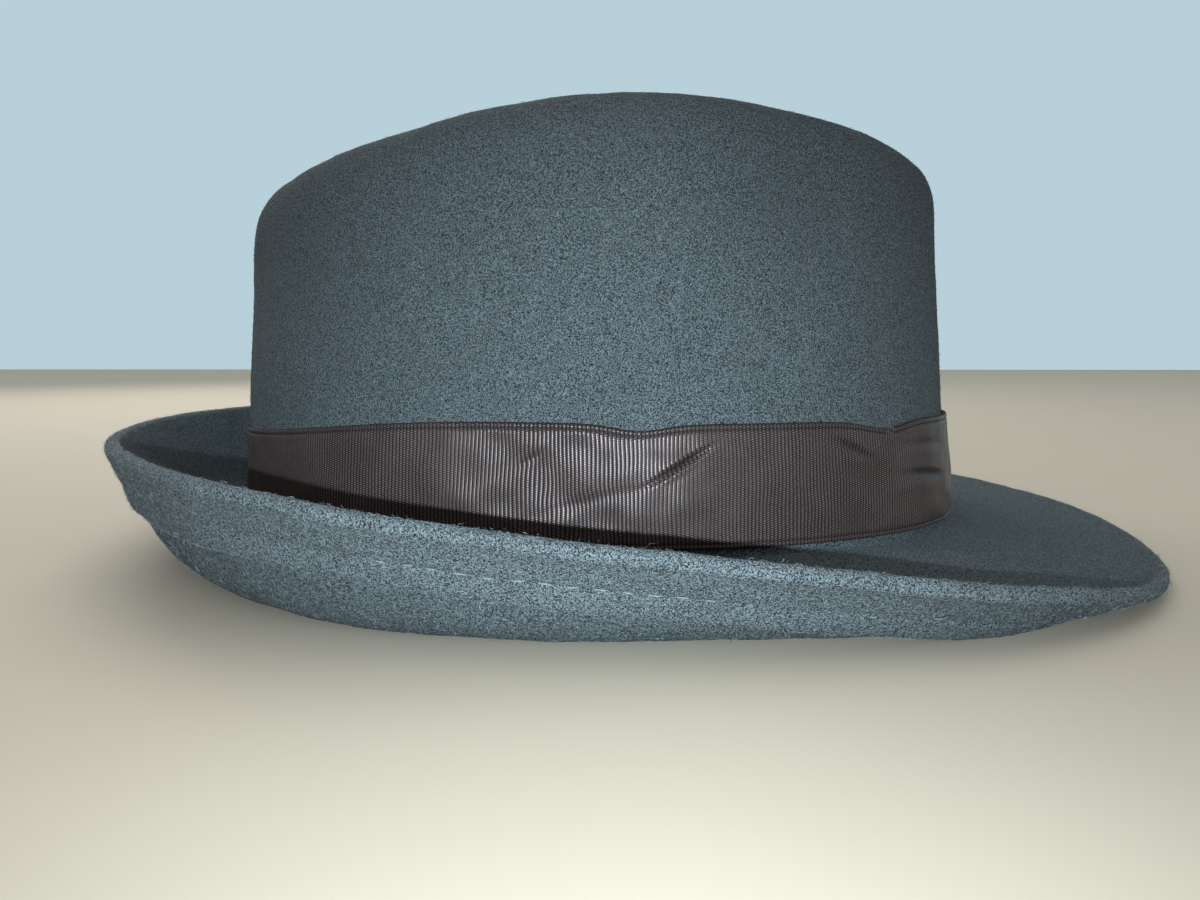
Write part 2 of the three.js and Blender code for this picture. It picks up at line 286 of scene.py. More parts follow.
class Waves:
    """Smooth unevenness: for each wavelength and height of a table, some waves across space."""

    def __init__(self, table):
        wavelength, height = np.repeat(np.array(table, float), WAVES_EACH, axis=0).T
        way = rng.normal(size=(len(height), 3))
        way /= np.linalg.norm(way, axis=1, keepdims=True)
        self.ways = way * (2 * np.pi / wavelength)[:, None]
        self.heights = height / math.sqrt(WAVES_EACH / 2)
        self.starts = rng.uniform(0, 2 * np.pi, len(height))

    def at(self, points):
        total = np.zeros(points.shape[:-1])
        for way, height, start in zip(self.ways, self.heights, self.starts):
            total += height * np.sin(points @ way + start)
        return total


# Meshes

def new_piece(name, points, faces, material):
    """Piece from points in millimetres and lists of faces, each list with one number of corners."""
    corners = np.concatenate([f.ravel() for f in faces])
    sizes = np.concatenate([np.full(len(f), f.shape[1]) for f in faces])
    mesh = bpy.data.meshes.new(name)
    mesh.vertices.add(len(points))
    mesh.vertices.foreach_set("co", ((points + [shift, 0, 0]) * MM).ravel())
    mesh.loops.add(len(corners))
    mesh.loops.foreach_set("vertex_index", corners.astype(np.int32))
    mesh.polygons.add(len(sizes))
    mesh.polygons.foreach_set("loop_start", (np.cumsum(sizes) - sizes).astype(np.int32))
    mesh.update(calc_edges=True)
    mesh.shade_smooth()
    mesh.materials.append(material)
    piece = bpy.data.objects.new(name, mesh)
    bpy.context.scene.collection.objects.link(piece)
    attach(piece, "root")
    return piece


def grid_faces(rows, columns, joined):
    """Quads between rings, and their corners' places on a map, as column and row numbers."""
    bands = np.arange(rows if joined else rows - 1)
    row, column = np.meshgrid(bands, np.arange(columns), indexing="ij")
    rise = np.stack([row, row + 1, row + 1, row], axis=-1).reshape(-1, 4)
    turn = np.stack([column, column, column + 1, column + 1], axis=-1).reshape(-1, 4)
    return rise % rows * columns + turn % columns, turn, rise


def add_map(piece, name, places):
    layer = piece.data.uv_layers.new(name=name)
    layer.uv.foreach_set("vector", places.astype(np.float32).ravel())


def add_shade(piece, name, values):
    layer = piece.data.attributes.new(name, "FLOAT", "POINT")
    layer.data.foreach_set("value", values.astype(np.float32).ravel())


# Felt body: points in each ring, and rings of its stretches
BODY_COLUMNS = 336
TOP_RINGS = 44
SHOULDER_RINGS = 14
WALL_RINGS = 34
FALL_RINGS = 26
EDGE_RINGS = 7
# The inside of the crown has one ring for every so many of the outside
INSIDE_SKIP = 2
FELT_WAVES = Waves(((80, 0.3), (34, 0.12), (13, 0.05), (6, 0.03)))
# On the underside, the groove of the stitches, and the step and lip of the raw edge
STITCH_INSET = 8.3
GROOVE_DEPTH = 0.25
GROOVE_WIDTH = 0.9
RAW_EDGE_RUN = 1.3
RAW_EDGE_LIP = 0.15
# Distances from the brim's edge of its outer rings, close together at the stitches and raw edge
EDGE_DISTANCES = np.concatenate([
    np.arange(19, 15.5, -0.8), np.arange(15.4, 12.2, -0.3), np.arange(11.9, 10.5, -0.6),
    np.arange(10.3, 7.6, -0.35), np.arange(7.1, 1, -0.8), [0.8, 0.45, 0.2, 0],
])
# How far the last rings of the upper face take the doubled edge's lighter colour, partly its own
# and partly painted light
EDGE_PAINTED_LIGHT_BLEND = ((0.33,), (0.66,))


def under_thickness(inset):
    """Thickness of the brim at a distance from its edge: a doubled edge with a raw side."""
    step = smoothstep(WELT_WIDTH + RAW_EDGE_RUN - inset, 0, RAW_EDGE_RUN)
    lip = RAW_EDGE_LIP * bell(inset - WELT_WIDTH + RAW_EDGE_RUN, RAW_EDGE_RUN)
    groove = GROOVE_DEPTH * bell(inset - STITCH_INSET, GROOVE_WIDTH)
    return FELT + (WELT_THICKNESS - FELT) * step + lip - groove


class FeltForm:
    """The felt's faces as grids of rings: upper from the crown's middle to the brim's edge, lower
    beneath the same rings, and skin, which goes round the edge and back inside the crown."""

    def __init__(self):
        angle = np.arange(BODY_COLUMNS) * 2 * np.pi / BODY_COLUMNS
        self.sections = sections = Sections(angle)
        top = sections.top(np.linspace(0, 1, TOP_RINGS + 1)[1:])
        shoulder = sections.shoulder(SHOULDER_RINGS + 1)[1:]
        tall = sections.shoulder_end[:, 1] - sections.wall_foot[:, 1]
        wall = sections.wall(tall * (1 - np.linspace(0, 1, WALL_RINGS + 1)[1:, None]))
        outer = sections.brim_length - EDGE_DISTANCES[:, None]
        inner = outer[0] * np.linspace(0, 1, FALL_RINGS + 1)[1:-1, None]
        brim = sections.brim(np.concatenate([inner, outer]))
        self.first_brim = len(top) + len(shoulder) + len(wall)
        grid = sections.in_space(np.concatenate([top, shoulder, wall, brim]))
        grid += normals(grid) * FELT_WAVES.at(grid)[..., None]
        grid[..., 2] = np.maximum(grid[..., 2], 0)
        out = normals(grid)
        inset = np.full(grid.shape[:2], float(BRIM_WIDTH))
        inset[self.first_brim:] = sections.brim_length - np.concatenate([inner, outer])
        self.upper, self.out, self.inset = grid, out, inset
        self.lower = grid - out * under_thickness(inset)[..., None]
        self.lower[..., 2] = np.maximum(self.lower[..., 2], 0)
        self.skin = self.round_the_edge()
        self.skin_out = normals(self.skin)

    def round_the_edge(self):
        upper, lower = self.upper, self.lower
        outward = upper[-1] - upper[-4]
        outward /= np.linalg.norm(outward, axis=-1, keepdims=True)
        depth = (1 - np.cos(np.linspace(0, np.pi, EDGE_RINGS + 2)[1:-1])) / 2
        lip = [
            upper[-1] * (1 - d) + lower[-1] * d
            + outward * EDGE_BULGE * WELT_THICKNESS * math.sqrt(d * (1 - d))
            for d in depth
        ]
        under, inside = lower[self.first_brim:], lower[:self.first_brim:INSIDE_SKIP]
        self.edge_row = len(upper)
        self.inside_row = len(upper) + EDGE_RINGS + len(under)
        rings = np.concatenate([upper, np.array(lip), under[::-1], inside[::-1]])
        rings[..., 2] = np.maximum(rings[..., 2], 0)
        return rings


def felt_body(form, material):
    """The whole skin, closed with a fan of triangles at each pole."""
    rings = form.skin
    rows, columns = rings.shape[:2]
    quads, turn, rise = grid_faces(rows, columns, joined=False)
    poles = np.array([rings[0].mean(axis=0), rings[-1].mean(axis=0)])
    points = np.concatenate([rings.reshape(-1, 3), poles])
    ring = np.arange(columns)
    after = (ring + 1) % columns
    last = (rows - 1) * columns
    fans = np.concatenate([
        np.stack([np.full(columns, rows * columns), ring, after], axis=-1),
        np.stack([np.full(columns, rows * columns + 1), last + after, last + ring], axis=-1),
    ])
    piece = new_piece("crown_and_brim", points, [quads, fans], material)
    fan_map = np.zeros((len(fans), 3, 2))
    fan_map[:columns, :, 0] = np.stack([ring + 0.5, ring, ring + 1], axis=-1)
    fan_map[columns:, :, 0] = np.stack([ring + 0.5, ring + 1, ring], axis=-1)
    fan_map[:columns, :, 1] = [-1, 0, 0]
    fan_map[columns:, :, 1] = [rows, rows - 1, rows - 1]
    quad_map = np.stack([turn, rise], axis=-1)
    places = np.concatenate([quad_map.reshape(-1, 2), fan_map.reshape(-1, 2)])
    add_map(piece, "OFBake", (places + [0, 1]) / [columns, rows + 1])
    # The doubled attribute carries the doubled edge's lighter colour, partly painted light
    add_shade(piece, "doubled", np.append(edge_painted_light_share(form).ravel(), [0, 0]))
    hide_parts("felt_body")


def edge_painted_light_share(form):
    """How far each point of the skin has the doubled edge's lighter colour, partly the felt's own
    and partly painted light.
    """
    share = np.zeros(form.skin.shape[:2])
    edge, under = form.edge_row, form.edge_row + EDGE_RINGS
    share[edge - len(EDGE_PAINTED_LIGHT_BLEND):edge] = EDGE_PAINTED_LIGHT_BLEND
    share[edge:under] = 1
    inset = form.inset[form.first_brim:][::-1]
    share[under:form.inside_row] = smoothstep(inset, WELT_WIDTH + RAW_EDGE_RUN, WELT_WIDTH)
    return share


# Threads and hairs

# A tube's thickness follows a half circle along it, between these shares of its reach
TUBE_REACH = 0.98


def tubes(paths, radius, sides):
    """Closed round tubes along paths, an array of (tubes, points, 3), with pointed ends."""
    count, steps = paths.shape[:2]
    along = np.gradient(paths, axis=1)
    along /= np.linalg.norm(along, axis=-1, keepdims=True)
    side = np.cross(along, [0.0, 0.0, 1.0])
    side /= np.maximum(np.linalg.norm(side, axis=-1, keepdims=True), 1e-9)
    up = np.cross(side, along)
    reach = np.linspace(-TUBE_REACH, TUBE_REACH, steps)
    thick = radius * np.sqrt(1 - reach ** 2)[None, :, None, None]
    turn = np.arange(sides) * 2 * np.pi / sides
    round_it = side[:, :, None] * np.cos(turn)[:, None] + up[:, :, None] * np.sin(turn)[:, None]
    rings = (paths[:, :, None] + thick * round_it).reshape(count, steps * sides, 3)
    points = np.concatenate([rings, paths[:, :1], paths[:, -1:]], axis=1)
    quads = grid_faces(steps, sides, joined=False)[0]
    ring = np.arange(sides)
    after = (ring + 1) % sides
    first, last = steps * sides, steps * sides + 1
    end = (steps - 1) * sides
    fans = np.concatenate([
        np.stack([np.full(sides, first), ring, after], axis=-1),
        np.stack([np.full(sides, last), end + after, end + ring], axis=-1),
    ])
    start = np.arange(count)[:, None, None] * points.shape[1]
    faces = [(quads + start).reshape(-1, 4), (fans + start).reshape(-1, 3)]
    return points.reshape(-1, 3), faces


HAIR_SIDES = 3
# How deep a hair may start in the felt, and how far its middle lifts, as a share of its length
HAIR_ROOT = 0.12
HAIR_LIFT = 0.08
# How much the hairs differ in length, and how far they bend sideways, as a share of their length
HAIR_UNEVEN = 0.35
HAIR_BEND = 0.2
# Each hair has a start, an end and three points round its middle
HAIR_FACES = np.array([
    (0, 3, 2), (0, 4, 3), (0, 2, 4), (1, 2, 3), (1, 3, 4), (1, 4, 2),
])
# Places of those five points on the map, in a square of each hair's own
HAIR_MAP = np.array([(0, 0), (1, 1), (0.3, 0.7), (0.7, 0.3), (0.5, 0.5)]) * 0.9
# Nap of each stretch of felt: hairs, their usual length and radius, and how steeply they stand
NAP = {
    "nap_crown": {"hairs": 32000, "length": 0.9, "radius": 0.028, "lean": 10},
    "nap_brim": {"hairs": 18000, "length": 0.9, "radius": 0.028, "lean": 10},
    "nap_underside": {"hairs": 32500, "length": 1.0, "radius": 0.034, "lean": 9},
}


def strewn(grid, out, kept, count):
    """Random places on a grid of the felt, and the way out there; kept is each cell's share."""
    a, b = grid[:-1], grid[1:]
    c, d = np.roll(b, -1, axis=1), np.roll(a, -1, axis=1)
    area = np.linalg.norm(np.cross(c - a, d - b), axis=-1) * kept[:-1]
    cell = rng.choice(area.size, count, p=area.ravel() / area.sum())
    u, v = rng.random((2, count, 1))
    a, b, c, d = (corner_at.reshape(-1, 3)[cell] for corner_at in (a, b, c, d))
    place = (a * (1 - u) + b * u) * (1 - v) + (d * (1 - u) + c * u) * v
    return place, out[:-1].reshape(-1, 3)[cell]


def hair_points(place, up, facts):
    """Five points of each hair, a bent spindle that lies almost flat on the felt."""
    single = (len(place), 1)
    way = rng.normal(size=place.shape)
    way -= up * (way * up).sum(axis=1, keepdims=True)
    way /= np.linalg.norm(way, axis=1, keepdims=True)
    side = np.cross(up, way)
    lean = np.radians(np.abs(rng.normal(0, facts["lean"], single)))
    length = facts["length"] * np.exp(rng.normal(0, HAIR_UNEVEN, single))
    start = place - up * HAIR_ROOT * rng.random(single)
    end = start + length * (way * np.cos(lean) + up * np.sin(lean))
    bend = rng.normal(0, HAIR_BEND, single) * length
    middle = (start + end) / 2 + side * bend + up * HAIR_LIFT * length
    turn = np.arange(HAIR_SIDES) * 2 * np.pi / HAIR_SIDES
    rings = [middle + facts["radius"] * (side * math.cos(t) + up * math.sin(t)) for t in turn]
    points = np.stack([start, end, *rings], axis=1)
    lowest = points[..., 2].min(axis=1)
    points[..., 2] += np.maximum(-lowest, 0)[:, None]
    return points


def nap(name, grid, out, kept, material):
    """Short hairs strewn over a grid of the felt, all in one piece."""
    facts = NAP[name]
    count = facts["hairs"]
    points = hair_points(*strewn(grid, out, kept, count), facts)
    faces = HAIR_FACES + np.arange(count)[:, None, None] * points.shape[1]
    piece = new_piece(name, points.reshape(-1, 3), [faces.reshape(-1, 3)], material)
    across = math.ceil(math.sqrt(count))
    row, column = np.divmod(np.arange(count), across)
    places = np.stack([column, row], axis=-1)[:, None] + HAIR_MAP
    add_map(piece, "OFBake", (places / across).reshape(-1, 2)[faces.ravel()])
    add_shade(piece, "hair", np.repeat(rng.random(count), points.shape[1]))


# Height over the floor from which the underside has nap, and the part of the brim that has it
NAP_FROM = 0.6
NAP_INSETS = (34, 22)
# How many more hairs stand along the raw edge, and over what width
RAW_NAP = 3
RAW_NAP_WIDTH = 0.45
# Rings of the upper face that the underside's nap also covers
NAP_LAP = 2


def all_nap(form, material, under_material):
    skin, out = form.skin, form.skin_out
    first, edge, inside = form.first_brim, form.edge_row, form.inside_row
    bare = form.sections.wall_foot[:, 1] + BAND_CLEARANCE + BAND_WIDTH
    kept = (skin[:first, :, 2] > bare).astype(float)
    nap("nap_crown", skin[:first], out[:first], kept, material)
    kept = np.ones((edge - first, BODY_COLUMNS))
    nap("nap_brim", skin[first:edge], out[first:edge], kept, material)
    inset = np.concatenate([
        np.zeros((NAP_LAP + EDGE_RINGS, BODY_COLUMNS)), form.inset[first:][::-1],
    ])
    under = slice(edge - NAP_LAP, inside)
    kept = (skin[under, :, 2] > NAP_FROM) * smoothstep(inset, *NAP_INSETS)
    kept *= 1 + RAW_NAP * bell(inset - WELT_WIDTH, RAW_NAP_WIDTH)
    nap("nap_underside", skin[under], out[under], kept, under_material)


# Stitches: their pitch, how much of each shows, and how far their middles lie in the felt
STITCH_PITCH = 4.63
STITCH_SHOWN = 2.3
STITCH_RADIUS = 0.11
STITCH_SUNK = 0.13
# How far a stitch slips, as a share of the pitch, and its least and greatest share of its length
STITCH_WANDER = 0.08
STITCH_UNEVEN = (0.8, 1.15)
# Headings between which the stitches lie proud, how far from there they have sunk in, and how
# much deeper they then lie, as a share of STITCH_SUNK
STITCH_PROUD = (-101, -86)
STITCH_FADE = 9
STITCH_DEEPER = 1.6
STITCH_POINTS = 9
STITCH_SIDES = 6


def along_ring(ring, out, reach, at):
    """Places at distances along a closed ring of points, and the way out there."""
    column = np.interp(at, reach, np.arange(len(reach)))
    low = np.floor(column).astype(int) % len(ring)
    high = (low + 1) % len(ring)
    part = (column - np.floor(column))[..., None]
    place = ring[low] * (1 - part) + ring[high] * part
    return place, out[low] * (1 - part) + out[high] * part


def edge_stitches(form, material):
    """Short dashes of thread along the underside of the doubled edge."""
    inset = form.inset[:, 0]
    row = int(np.argmin(np.abs(inset - STITCH_INSET)))
    ring = form.lower[row]
    steps = np.linalg.norm(np.diff(np.concatenate([ring, ring[:1]]), axis=0), axis=1)
    reach = np.concatenate([[0], np.cumsum(steps)])
    count = int(round(reach[-1] / STITCH_PITCH))
    slip = rng.uniform(-STITCH_WANDER, STITCH_WANDER, count)
    middle = (np.arange(count) + slip) * reach[-1] / count
    shown = STITCH_SHOWN * rng.uniform(*STITCH_UNEVEN, count)
    along = np.linspace(-0.5, 0.5, STITCH_POINTS)
    at = (middle[:, None] + shown[:, None] * along) % reach[-1]
    place, up = along_ring(ring, -form.out[row], reach, at)
    centre = place[:, STITCH_POINTS // 2]
    turn = turn_between(np.arctan2(centre[:, 1], centre[:, 0]), 0)
    past = np.maximum(STITCH_PROUD[0] - turn, turn - STITCH_PROUD[1])
    sunk = STITCH_SUNK * (1 + STITCH_DEEPER * smoothstep(past, 0, STITCH_FADE))
    arch = STITCH_RADIUS * (1 - (2 * along) ** 4)
    lift = arch - sunk[:, None] + GROOVE_DEPTH / 2
    paths = place + up * lift[..., None]
    points, faces = tubes(paths, STITCH_RADIUS, STITCH_SIDES)
    new_piece("edge_stitches", points, faces, material)


# Bits of lint: on the underside at a distance from the brim's edge, or on the crown at a height
LINT = (
    {"heading": -131, "inset": 24, "curl": 0.8, "length": 6},
    {"heading": -63, "inset": 6, "curl": 1.2, "length": 5},
    {"heading": -97, "inset": 16, "curl": 2.5, "length": 4},
    {"heading": -12, "height": 54, "curl": 3, "length": 5},
    {"heading": 60, "height": 70, "curl": 1.5, "length": 6},
    {"heading": 200, "inset": 9, "curl": 1, "length": 5},
)
LINT_RADIUS = 0.05
LINT_LIFT = 0.25
# Share of its radius that a curl loses in each radian, and the waves by which it leaves the felt
LINT_TIGHTENS = 0.06
LINT_WAVE = {"height": 0.1, "turns": 3}
LINT_POINTS = 12
LINT_SIDES = 4


def lint(form, material):
    """A few loose curled fibres that lie on the felt."""
    paths = []
    for bit in LINT:
        column = round(bit["heading"] % 360 / 360 * BODY_COLUMNS) % BODY_COLUMNS
        if "inset" in bit:
            row = int(np.argmin(np.abs(form.inset[:, column] - bit["inset"])))
            place, up = form.lower[row, column], -form.out[row, column]
        else:
            heights = form.upper[:form.first_brim, column, 2]
            row = int(np.argmin(np.abs(heights - bit["height"])))
            place, up = form.upper[row, column], form.out[row, column]
        side = np.cross(up, rng.normal(size=3))
        side /= np.linalg.norm(side)
        ahead = np.cross(side, up)
        turn = np.linspace(0, bit["length"] / bit["curl"], LINT_POINTS)[:, None]
        curl = side * np.cos(turn) + ahead * np.sin(turn) * (1 - LINT_TIGHTENS * turn)
        lift = LINT_LIFT + LINT_WAVE["height"] * np.sin(LINT_WAVE["turns"] * turn)
        paths.append(place + bit["curl"] * curl + up * lift)
    points, faces = tubes(np.array(paths), LINT_RADIUS, LINT_SIDES)
    new_piece("lint", points, faces, material)


# Ribbon
RIB_PITCH = 0.88
COLUMNS_A_RIB = 2
RIB_DEPTH = 0.14
# Where each rib's crest lies between its two valleys
RIB_CREST = 0.67
# Points in the line round the hat by which the ribs are placed
ROUND_POINTS = 4097
RIB_WANDER = Waves(((9, 0.05), (23, 0.12)))
BAND_WAVES = Waves(((60, 0.18), (24, 0.12), (9, 0.05)))
BAND_ROWS = 50
# Selvedge: distances of its rows from the ribbon's edge, how wide its rounding is and which share
# of the ribbon's thickness and ribs the edge keeps, its groove and the shade painted into it, and
# the painted shade along its rim
SELVEDGE = (0, 0.3, 0.65, 1.0, 1.25)
SELVEDGE_ROUND = 0.5
EDGE_THICKNESS = 0.35
EDGE_RIBS = 0.3
SELVEDGE_GROOVE = {"inset": 1.25, "width": 0.22, "depth": 0.2, "painted_shade": 0.9}
SELVEDGE_RIM = {"width": 0.35, "painted_shade": 1}
# Where the brim leaves the ribbon less room
SNUG = {"heading": 188, "spread": 34, "thinner": 0.45}
# Lapped joint: its outer end is a sharp step, its inner end a soft one
LAP_HEADING = 90
LAP_WIDTH = 16
LAP_RISE = 0.8
LAP_STEPS = (0.5, 5)
RIBBON_LEAST = 0.35

# Creases: the ribbon bulges a little, drops into a narrow valley and rises to a lip under it.
# rise, run and sharp are shares of BAND_WIDTH, slant is in degrees, and height, valley and kink,
# by which the ribs jog where they cross it, are millimetres. valley also sets the shade painted
# into the valley.
CREASE_COLUMNS = ("heading", "rise", "run", "slant", "sharp", "height", "valley", "kink")
CREASES = [dict(zip(CREASE_COLUMNS, row)) for row in (
    (-77.5, 0.7, 0.21, 29, 0.022, 0.4, 1.1, 0.3),
    (-91, 0.42, 0.42, 17, 0.045, 0.05, 0.06, 0.35),
    (-99, 0.73, 0.1, 35, 0.03, 0.02, 0.2, 0.35),
    (-50, 0.81, 0.2, -18, 0.05, 0.45, 0.5, 0.25),
    (-33, 0.53, 0.45, -7, 0.06, 0.45, 0.45, 0.25),
    (-33, 0.81, 0.35, -4, 0.045, 0.3, 0.35, 0.2),
    (30, 0.6, 0.4, 12, 0.06, 0.4, 0.3, 0.2),
    (150, 0.5, 0.4, -14, 0.06, 0.4, 0.3, 0.2),
)]
# Across a crease, in its own sharpness: how far the bulge reaches over it, and where the lip, the
# valley and the shade painted into the valley lie under it
BULGE_REACH = 5
LIP = {"under": 2.4, "width": 1.1, "share": 0.5}
VALLEY = {"under": 0.6, "width": 0.75}
VALLEY_PAINTED_SHADE = {"under": 0.35, "width": 0.8}

# Places where a stitch draws the ribbon's upper edge down, as a share of BAND_WIDTH
TACKS = (
    {"heading": -83, "spread": 5, "drop": 0.055},
    {"heading": -43, "spread": 6, "drop": 0.07},
)


def even_angles(height):
    """Headings that are evenly apart along the wall at a height, from the lap's outer end."""
    start = math.radians(LAP_HEADING) + LAP_WIDTH / HEAD_WIDTH
    fine = start + np.linspace(0, 2 * np.pi, ROUND_POINTS)
    sections = Sections(fine)
    line = sections.in_space(sections.wall(np.full((1, len(fine)), height)))[0]
    reach = np.concatenate([[0], np.cumsum(np.linalg.norm(np.diff(line, axis=0), axis=1))])
    ribs = int(round(reach[-1] / RIB_PITCH))
    at = (np.arange(ribs)[:, None] + [0, RIB_CREST]).ravel() / ribs * reach[-1]
    return np.interp(at, reach, fine), at


def crease_form(angle, share):
    """Height of the creases, how far they push the ribs along, and the painted shade in their
    valleys.
    """
    height, push, dark = np.zeros((3, *share.shape))
    for crease in CREASES:
        slant = math.radians(crease["slant"])
        x = np.radians(turn_between(angle, crease["heading"])) * oval_radius(angle) / BAND_WIDTH
        y = share - crease["rise"]
        along = x * math.cos(slant) + y * math.sin(slant)
        across = (y * math.cos(slant) - x * math.sin(slant)) / crease["sharp"]
        reach = bell(along, crease["run"])
        bulge = smoothstep(across, -0.5, 0.5) * np.exp(-np.maximum(across, 0) / BULGE_REACH)
        lip = LIP["share"] * bell(across + LIP["under"], LIP["width"])
        valley = bell(across + VALLEY["under"], VALLEY["width"])
        height += reach * (crease["height"] * (bulge + lip) - crease["valley"] * valley)
        push -= reach * crease["kink"] * np.tanh(across)
        # Painted shade in the crease's valley
        dark += reach * crease["valley"] * bell(across + VALLEY_PAINTED_SHADE["under"], VALLEY_PAINTED_SHADE["width"])
    return height, push, dark


def lap_height(angle):
    distance = np.radians(turn_between(angle, LAP_HEADING)) * oval_radius(angle)
    sharp, soft = LAP_STEPS
    near = 1 - smoothstep(distance, LAP_WIDTH / 2 - sharp, LAP_WIDTH / 2)
    far = smoothstep(distance, -LAP_WIDTH / 2 - soft, -LAP_WIDTH / 2)
    return LAP_RISE * near * far


def row_heights():
    """Heights of the ribbon's rows over its lower edge, close together at both selvedges."""
    selvedge = np.array(SELVEDGE)
    inner = 2 * selvedge[-1] - selvedge[-2]
    middle = np.linspace(inner, BAND_WIDTH - inner, BAND_ROWS)
    return np.concatenate([selvedge, middle, BAND_WIDTH - selvedge[::-1]])


def ribbon_base(angle, share, wander):
    """Points on the felt behind the ribbon's rows, and the way out there."""
    heading = angle + wander / oval_radius(angle)
    drop = sum(t["drop"] * bell(turn_between(angle, t["heading"]), t["spread"]) for t in TACKS)
    height = BAND_CLEARANCE + BAND_WIDTH * share * (1 - drop)
    base = np.stack([wall_points(heading[i], height[i]) for i in range(len(share))])
    along = np.roll(base, -1, axis=1) - np.roll(base, 1, axis=1)
    out = np.cross(along, np.gradient(base, axis=0))
    out /= np.linalg.norm(out, axis=-1, keepdims=True)
    base += out * FELT_WAVES.at(base)[..., None]
    return base, out


def ribbon_lift(angle, inset, groove, uneven):
    """How far the ribbon's face stands off its back; uneven is its creases and waves."""
    phase = np.arange(len(angle)) / COLUMNS_A_RIB
    rib = RIB_DEPTH * (np.abs(np.sin(np.pi * phase)) - 1)
    near = np.clip(inset / SELVEDGE_ROUND, 0, 1)
    rounding = np.sqrt(near * (2 - near))
    snug = 1 - SNUG["thinner"] * bell(turn_between(angle, SNUG["heading"]), SNUG["spread"])
    body = BAND_THICKNESS * snug * (EDGE_THICKNESS + (1 - EDGE_THICKNESS) * rounding)
    thick = body + rib * (EDGE_RIBS + (1 - EDGE_RIBS) * rounding)
    lift = thick - SELVEDGE_GROOVE["depth"] * groove + lap_height(angle) + uneven
    return np.maximum(lift, RIBBON_LEAST + rib)


def ribbon(material):
    angle, place = even_angles(BAND_WIDTH / 2)
    heights = row_heights()
    inset = np.minimum(heights, BAND_WIDTH - heights)[:, None]
    share = (heights / BAND_WIDTH)[:, None] + np.zeros_like(angle)
    flat = np.stack([place + 0 * share, share * BAND_WIDTH, 0 * share], axis=-1)
    # dark is the painted shade in the creases' valleys
    creased, push, dark = crease_form(angle, share)
    base, out = ribbon_base(angle, share, RIB_WANDER.at(flat) + push)
    groove = bell(inset - SELVEDGE_GROOVE["inset"], SELVEDGE_GROOVE["width"])
    lift = ribbon_lift(angle, inset, groove, creased + BAND_WAVES.at(flat))
    front = base + out * (BAND_CLEARANCE + lift)[..., None]
    back_rows = [-1, 0]
    back = base[back_rows] + out[back_rows] * BAND_CLEARANCE
    rings = np.concatenate([front, back])
    rows, columns = rings.shape[:2]
    quads, turn, rise = (part[:, ::-1] for part in grid_faces(rows, columns, joined=True))
    piece = new_piece("grosgrain_ribbon", rings.reshape(-1, 3), [quads], material)
    crease_at_valleys(piece.data, columns)
    places = np.stack([turn / columns, rise / rows], axis=-1)
    add_map(piece, "OFBake", places.reshape(-1, 2))
    # Painted shade: in the crease valleys, in the selvedge groove, along both edges, and over the
    # back rows, which lie against the felt
    rim_painted_shade = SELVEDGE_RIM["painted_shade"] * bell(inset, SELVEDGE_RIM["width"])
    dark = np.clip(dark + SELVEDGE_GROOVE["painted_shade"] * groove + rim_painted_shade, 0, 1)
    add_shade(piece, "fold", np.append(dark.ravel(), np.ones(back.size // 3)))
    across = np.append(heights, [BAND_WIDTH, 0, 0])[rise]
    add_weave(piece, np.stack([turn / COLUMNS_A_RIB, across], axis=-1))
    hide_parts("hat_band")


def add_weave(piece, places):
    """Place of each corner in the weave, as a number of ribs and millimetres over the edge."""
    layer = piece.data.attributes.new("weave", "FLOAT2", "CORNER")
    layer.data.foreach_set("vector", places.astype(np.float32).ravel())


def crease_at_valleys(mesh, columns):
    """Marks the edges between two ribs as sharp, so that each rib is shaded round by itself."""
    ends = np.empty(len(mesh.edges) * 2, np.int32)
    mesh.edges.foreach_get("vertices", ends)
    column = ends.reshape(-1, 2) % columns
    sharp = (column[:, 0] == column[:, 1]) & (column[:, 0] % COLUMNS_A_RIB == 0)
    layer = mesh.attributes.new("sharp_edge", "BOOLEAN", "EDGE")
    layer.data.foreach_set("value", sharp)


# Threads over the ribbon's upper edge at a tack: heights over the edge and lifts off the wall of
# each thread's points, places of the threads along the edge, how far they fan out and slip, radius
TACK_HEIGHTS = (1.2, 0.5, 0.05, -0.7, -1.5)
TACK_LIFTS = (-0.6, 1.1, 1.75, 1.65, 0.7)
TACK_THREADS = (-0.9, -0.25, 0.5)
TACK_FAN = 0.35
TACK_WANDER = 0.2
TACK_RADIUS = 0.13


def tacks(material):
    """The short threads that draw the ribbon's upper edge down."""
    paths = []
    for tack in TACKS:
        top = BAND_CLEARANCE + BAND_WIDTH * (1 - tack["drop"])
        for slip in TACK_THREADS:
            share = np.linspace(0, 1, len(TACK_HEIGHTS))
            turn = slip * (1 + TACK_FAN * share) / HEAD_WIDTH * 2
            heading = math.radians(tack["heading"]) + turn
            height = top + np.array(TACK_HEIGHTS) + rng.uniform(-TACK_WANDER, TACK_WANDER)
            place = wall_points(heading, height)
            way = np.stack([np.cos(heading), np.sin(heading), 0 * heading], axis=-1)
            paths.append(place + way * np.array(TACK_LIFTS)[:, None])
    points, faces = tubes(np.array(paths), TACK_RADIUS, STITCH_SIDES)
    new_piece("ribbon_tacks", points, faces, material)


def wall_points(angle, height):
    sections = Sections(angle)
    return sections.in_space(sections.wall(height[None]))[0]


# Materials

